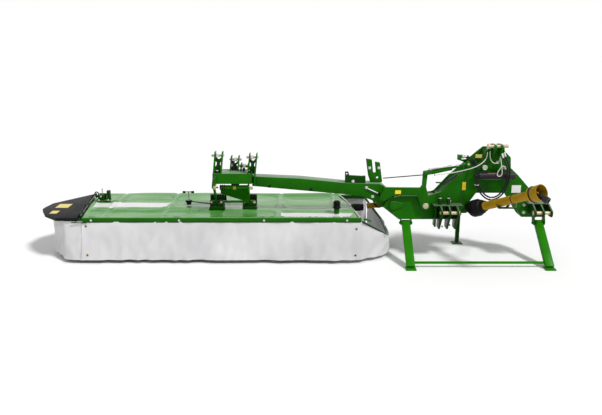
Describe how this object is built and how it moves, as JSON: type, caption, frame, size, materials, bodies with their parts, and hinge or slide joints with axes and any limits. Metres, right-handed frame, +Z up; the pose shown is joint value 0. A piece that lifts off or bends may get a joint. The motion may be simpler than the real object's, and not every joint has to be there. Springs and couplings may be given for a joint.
{
  "type": "rear-mounted disc mower",
  "caption": "Rear-mounted disc mower: a curtained mowing bed with spinning blade discs hangs from a folding boom on a three-point headstock that stands on a parking stand.",
  "frame": {"origin": "floor level under the middle of the parked machine", "axes": "+X across the machine from the mowing bed to the headstock, +Y to the rear of the machine, +Z up"},
  "size_m": [5.2969, 1.7009, 1.216],
  "materials": {
    "green_paint": "gloss",
    "dark_green_paint": "gloss",
    "galvanised_steel": "satin",
    "plated_pins": "satin",
    "cast_housing": "satin",
    "bar_steel": "satin",
    "disc_steel": "satin",
    "black_plastic": "matte",
    "yellow_plastic": "satin",
    "black_rubber": "matte",
    "black_paint": "satin",
    "cover_fabric": "satin",
    "curtain_fabric": "matte",
    "black_hose": "satin",
    "white_rope": "matte",
    "skirt_paint": "gloss"
  },
  "bodies": {
    "headstock": {"headstock_beam": "green_paint", "headstock_mast": "green_paint", "top_link_pin": "plated_pins", "hitch_bracket_left": "dark_green_paint", "hitch_bracket_right": "dark_green_paint", "lower_link_pin_left": "plated_pins", "lower_link_pin_right": "plated_pins", "headstock_gearbox": "cast_housing", "pto_guard_cone": "black_plastic", "pto_shaft": "yellow_plastic", "pto_cradle": "dark_green_paint", "accumulator": "black_paint", "pressure_gauge": "galvanised_steel", "rear_leg_sleeve": "green_paint", "boom_pivot_pin": "green_paint", "lever_pin": "plated_pins", "cylinder_anchor": "plated_pins", "hose_one": "black_hose", "hose_two": "black_hose", "rope_short": "white_rope", "rope_long": "white_rope"},
    "boom": {"boom": "green_paint", "transport_fork": "green_paint", "latch_arm": "dark_green_paint", "suspension_head": "green_paint", "rubber_stops": "black_rubber", "spring_units": "black_paint", "tilt_pin": "plated_pins"},
    "mowing_bed": {"bed_frame": "dark_green_paint", "outer_end_skirt": "curtain_fabric", "inner_end_skirt": "curtain_fabric", "rear_curtain": "curtain_fabric", "top_cover": "cover_fabric", "shield_hinge": "dark_green_paint", "adjusting_lever": "galvanised_steel", "cutter_bar": "bar_steel", "bed_gearbox": "cast_housing", "drive_boot": "black_rubber", "swing_arm": "green_paint", "bed_feet": "dark_green_paint", "breather": "black_plastic", "side_link": "green_paint"},
    "front_guard": {"front_rail": "green_paint", "front_curtain": "curtain_fabric"},
    "outer_guard": {"outer_shield": "black_plastic"},
    "stand": {"parking_stand": "green_paint"},
    "rear_prop": {"rear_leg": "dark_green_paint"},
    "lift_lever": {"lift_lever": "green_paint"},
    "lift_rod": {"cylinder_rod": "galvanised_steel"},
    "lift_barrel": {"cylinder_barrel": "green_paint"},
    "drive_outer": {"drive_shaft_outer": "yellow_plastic"},
    "drive_inner": {"drive_shaft_inner": "yellow_plastic"},
    "pto_yoke": {"pto_yoke": "galvanised_steel"},
    "disc_1": {"disc_1": "disc_steel"},
    "disc_2": {"disc_2": "disc_steel"},
    "disc_3": {"disc_3": "disc_steel"},
    "disc_4": {"disc_4": "disc_steel"},
    "disc_5": {"disc_5": "disc_steel"},
    "disc_6": {"disc_6": "disc_steel"},
    "disc_7": {"disc_7": "disc_steel"}
  },
  "joints": [
    {"name": "boom_fold", "type": "hinge", "parent": "headstock", "child": "boom", "pos_m": [1.06, 0.075, 0.558], "axis": [0, 1, 0], "range_deg": [0, 90]},
    {"name": "bed_tilt", "type": "hinge", "parent": "boom", "child": "mowing_bed", "pos_m": [-0.588, 0.075, 0.738], "axis": [0, 1, 0], "range_deg": [-3, 5]},
    {"name": "lift_lever_swing", "type": "hinge", "parent": "headstock", "child": "lift_lever", "pos_m": [1.387, -0.075, 0.562], "axis": [0, 1, 0], "range_deg": [0, 24]},
    {"name": "lift_cylinder_swing", "type": "hinge", "parent": "headstock", "child": "lift_rod", "pos_m": [1.8, -0.075, 1], "axis": [0, 1, 0], "range_deg": [-9.9, 0]},
    {"name": "lift_cylinder_stroke", "type": "slide", "parent": "lift_rod", "child": "lift_barrel", "axis": [-0.9765, 0, -0.2157], "range_m": [-0.128, 0]},
    {"name": "drive_shaft_swing", "type": "hinge", "parent": "headstock", "child": "drive_outer", "pos_m": [1.59, 0.25, 0.55], "axis": [0, 1, 0], "range_deg": [0, 28.23]},
    {"name": "drive_shaft_stroke", "type": "slide", "parent": "drive_outer", "child": "drive_inner", "axis": [-0.995, 0, -0.0995], "range_m": [-0.1149, 0]},
    {"name": "front_guard_lift", "type": "hinge", "parent": "mowing_bed", "child": "front_guard", "pos_m": [-0.7, -0.239, 0.483], "axis": [-1, 0, 0], "range_deg": [0, 90]},
    {"name": "outer_shield_fold", "type": "hinge", "parent": "mowing_bed", "child": "outer_guard", "pos_m": [-2.19777, 0.2, 0.486], "axis": [-0.1263, 0.992, 0], "range_deg": [0, 90]},
    {"name": "stand_swing", "type": "hinge", "parent": "headstock", "child": "stand", "pos_m": [1.9, -0.02, 0.362], "axis": [1, 0, 0], "range_deg": [0, 70]},
    {"name": "rear_leg_slide", "type": "slide", "parent": "headstock", "child": "rear_prop", "axis": [0, 0, 1], "range_m": [0, 0.25]},
    {"name": "pto_spin", "type": "hinge", "parent": "headstock", "child": "pto_yoke", "pos_m": [2.27861, -0.74916, 0.85319], "axis": [0.5781, -0.7376, -0.3489], "continuous": true},
    {"name": "disc_1_spin", "type": "hinge", "parent": "mowing_bed", "child": "disc_1", "pos_m": [-2.035, 0.15, 0.1], "axis": [0, 0, 1], "continuous": true},
    {"name": "disc_2_spin", "type": "hinge", "parent": "mowing_bed", "child": "disc_2", "pos_m": [-1.605, 0.15, 0.1], "axis": [0, 0, 1], "continuous": true},
    {"name": "disc_3_spin", "type": "hinge", "parent": "mowing_bed", "child": "disc_3", "pos_m": [-1.175, 0.15, 0.1], "axis": [0, 0, 1], "continuous": true},
    {"name": "disc_4_spin", "type": "hinge", "parent": "mowing_bed", "child": "disc_4", "pos_m": [-0.745, 0.15, 0.1], "axis": [0, 0, 1], "continuous": true},
    {"name": "disc_5_spin", "type": "hinge", "parent": "mowing_bed", "child": "disc_5", "pos_m": [-0.315, 0.15, 0.1], "axis": [0, 0, 1], "continuous": true},
    {"name": "disc_6_spin", "type": "hinge", "parent": "mowing_bed", "child": "disc_6", "pos_m": [0.115, 0.15, 0.1], "axis": [0, 0, 1], "continuous": true},
    {"name": "disc_7_spin", "type": "hinge", "parent": "mowing_bed", "child": "disc_7", "pos_m": [0.545, 0.15, 0.1], "axis": [0, 0, 1], "continuous": true}
  ],
  "couplings": [
    {"joint": "lift_lever_swing", "follows": "boom_fold", "ratio": 0.26556},
    {"joint": "lift_cylinder_swing", "follows": "boom_fold", "ratio": -0.10889},
    {"joint": "lift_cylinder_stroke", "follows": "boom_fold", "m_per_rad": -0.08085},
    {"joint": "drive_shaft_swing", "follows": "boom_fold", "ratio": 0.31256},
    {"joint": "drive_shaft_stroke", "follows": "boom_fold", "m_per_rad": -0.07253},
    {"joint": "disc_2_spin", "follows": "disc_1_spin", "ratio": -1},
    {"joint": "disc_3_spin", "follows": "disc_1_spin", "ratio": 1},
    {"joint": "disc_4_spin", "follows": "disc_1_spin", "ratio": -1},
    {"joint": "disc_5_spin", "follows": "disc_1_spin", "ratio": 1},
    {"joint": "disc_6_spin", "follows": "disc_1_spin", "ratio": -1},
    {"joint": "disc_7_spin", "follows": "disc_1_spin", "ratio": 1}
  ]
}
